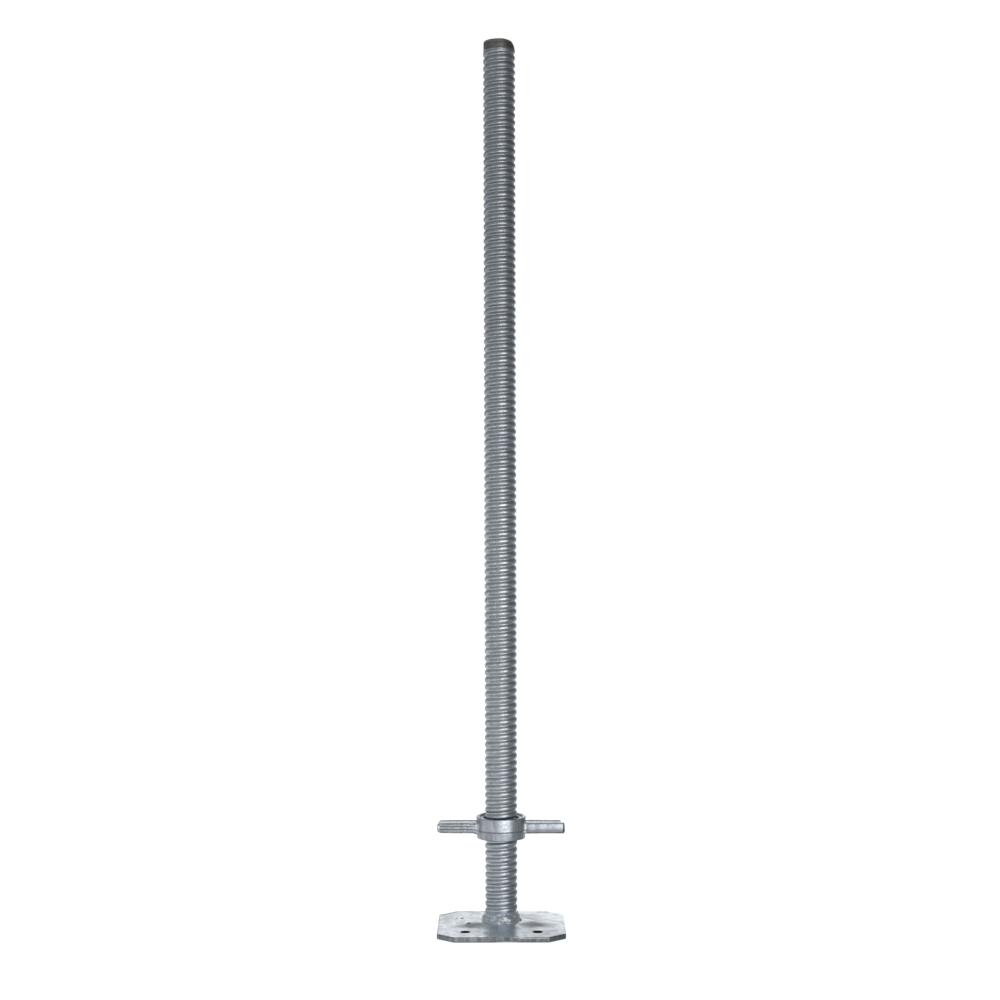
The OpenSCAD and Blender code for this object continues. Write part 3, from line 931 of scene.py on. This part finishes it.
studio = {
    # brightness of the room's lower and upper parts, and what is left of it on the right
    "level": 0.46, "above": 0.225, "shadyRight": 0.35,
    # the floor in reflections: seen at a low angle, close by, behind, and what is left on the right
    "floorFar": 0.48, "floorNear": 0.27, "floorBehind": 0.5, "floorRight": 0.2,
    "floorRadius": 4.0, "floorGrey": 0.5, "floorGlow": 0.94, "white": 1.01,
}
lamps = {
    # azimuth from the camera's side towards the right, distance, width, height, power
    "softBox": (20.0, 2.6, 2.5, 1.7, 7.0),
    "softBoxLow": (20.0, 2.5, 2.3, 0.9, 5.4),
    "sideStrip": (-43.0, 2.6, 0.3, 0.8, 1.0),
}
view = {"lens": 73.05, "place": (-0.0003, -2.400, 0.494), "tilt": 0.0054, "roll": -0.0027}


def buildWorld():
    world = bpy.data.worlds.new("studio")
    scene.world = world
    world.use_nodes = True
    tree = world.node_tree
    tree.nodes.clear()
    way = axesOf(tree, addNode(tree, "ShaderNodeTexCoord").outputs["Generated"])
    # the room is dimmer above and on the right, with a white backdrop behind
    square = calc(tree, "MULTIPLY", way["X"], way["X"])
    flat = calc(tree, "SQRT", calc(tree, "MULTIPLY_ADD", way["Y"], way["Y"], square))
    room = ease(tree, way["Z"], -0.05, 0.22, studio["level"], studio["above"])
    room = calc(tree, "MULTIPLY", room,
                ease(tree, calc(tree, "DIVIDE", way["X"], flat), 0.55, 0.9, 1.0, studio["shadyRight"]))
    drop = calc(tree, "MULTIPLY", ease(tree, way["Y"], 0.70, 0.92), ease(tree, way["Z"], 0.72, 0.28))
    drop = calc(tree, "MULTIPLY", drop, ease(tree, square, 0.03, 0.2, 1.0, 0.25))
    level = calc(tree, "MULTIPLY_ADD", calc(tree, "SUBTRACT", 1.0, room), drop, room)
    seen = addNode(tree, "ShaderNodeLightPath").outputs["Is Camera Ray"]
    strength = calc(tree, "MAXIMUM", calc(tree, "MULTIPLY", seen, studio["white"]), level)
    shade = addNode(tree, "ShaderNodeBackground", {"Color": (1.0, 1.0, 1.0, 1.0), "Strength": strength})
    addNode(tree, "ShaderNodeOutputWorld", {"Surface": shade.outputs[0]})


def floorFinish():
    material = bpy.data.materials.new("paleFloor")
    material.use_nodes = True
    tree = material.node_tree
    tree.nodes.clear()
    path = addNode(tree, "ShaderNodeLightPath").outputs
    where = addNode(tree, "ShaderNodeTexCoord").outputs["Object"]
    place = axesOf(tree, where)
    away = addNode(tree, "ShaderNodeVectorMath", {0: where}, operation="LENGTH").outputs["Value"]
    # in reflections the floor shines at a low angle, is dim from above and on the right, and
    # is pale behind
    glance = addNode(tree, "ShaderNodeLayerWeight", {"Blend": 0.5}).outputs["Facing"]
    front = calc(tree, "MAXIMUM", ease(tree, glance, 0.35, 0.85, 0.0, studio["floorFar"]),
                 ease(tree, away, 0.1, 0.5, studio["floorNear"], 0.0))
    back = ease(tree, calc(tree, "DIVIDE", place["Y"], away), 0.1, 0.7, 0.0, studio["floorBehind"])
    shady = ease(tree, calc(tree, "DIVIDE", place["X"], away), 0.5, 0.9, 1.0, studio["floorRight"])
    mirrored = calc(tree, "MULTIPLY", calc(tree, "MAXIMUM", front, back), shady)
    # painted shadow: the floor's glow is dimmed where ambient occlusion is close, so the narrow gap under the
    # plate stays dark
    nearby = addNode(tree, "ShaderNodeAmbientOcclusion", {"Distance": 0.003}, samples=8).outputs["AO"]
    clear = calc(tree, "MULTIPLY", ease(tree, nearby, 0.0, 0.62), studio["floorGlow"])
    plain = calc(tree, "MAXIMUM", path["Is Camera Ray"], path["Is Transmission Ray"])
    plain = calc(tree, "MULTIPLY", plain, clear)
    shown = calc(tree, "MAXIMUM", plain, calc(tree, "MULTIPLY", path["Is Glossy Ray"], mirrored))
    grey = studio["floorGrey"]
    matt = addNode(tree, "ShaderNodeBsdfDiffuse", {"Color": (grey, grey, grey, 1.0)})
    glow = addNode(tree, "ShaderNodeEmission", {"Color": (1.0, 1.0, 1.0, 1.0), "Strength": shown})
    both = addNode(tree, "ShaderNodeAddShader", {0: matt.outputs[0], 1: glow.outputs[0]})
    addNode(tree, "ShaderNodeOutputMaterial", {"Surface": both.outputs[0]})
    return material


def buildFloor():
    mesh = bpy.data.meshes.new("studioFloor")
    count = 64
    ring = [(studio["floorRadius"] * math.cos(math.tau * i / count),
             studio["floorRadius"] * math.sin(math.tau * i / count), 0.0) for i in range(count)]
    mesh.from_pydata(ring, [], [list(range(count))])
    mesh.materials.append(floorFinish())
    floor = linkNew("studioFloor", mesh)
    floor.location.z = -0.0002  # just under the plate


def buildLamp(name, azimuth, distance, width, height, power):
    data = bpy.data.lights.new(name, "AREA")
    data.shape = "RECTANGLE"
    data.size = width
    data.size_y = height
    data.energy = power
    lamp = linkNew(name, data)
    a = math.radians(azimuth)
    # it stands just off the floor and faces the stem squarely
    middle = height / 2 + 0.03
    place = Vector((distance * math.sin(a), -distance * math.cos(a), middle))
    lamp.location = place
    lamp.rotation_mode = "QUATERNION"
    lamp.rotation_quaternion = (Vector((0, 0, middle)) - place).to_track_quat("-Z", "Y")


def buildCamera():
    data = bpy.data.cameras.new("view")
    data.sensor_width = 36.0
    data.lens = view["lens"]
    data.clip_start = 0.1
    data.clip_end = 50.0
    camera = linkNew("view", data)
    camera.location = view["place"]
    camera.rotation_mode = "QUATERNION"
    camera.rotation_quaternion = (Quaternion((1, 0, 0), math.pi / 2 + view["tilt"])
                                  @ Quaternion((0, 0, 1), view["roll"]))
    scene.camera = camera


buildWorld()
buildFloor()
for name, values in lamps.items():
    buildLamp(name, *values)
buildCamera()
scene.view_settings.view_transform = "Standard"
print("studio ready")
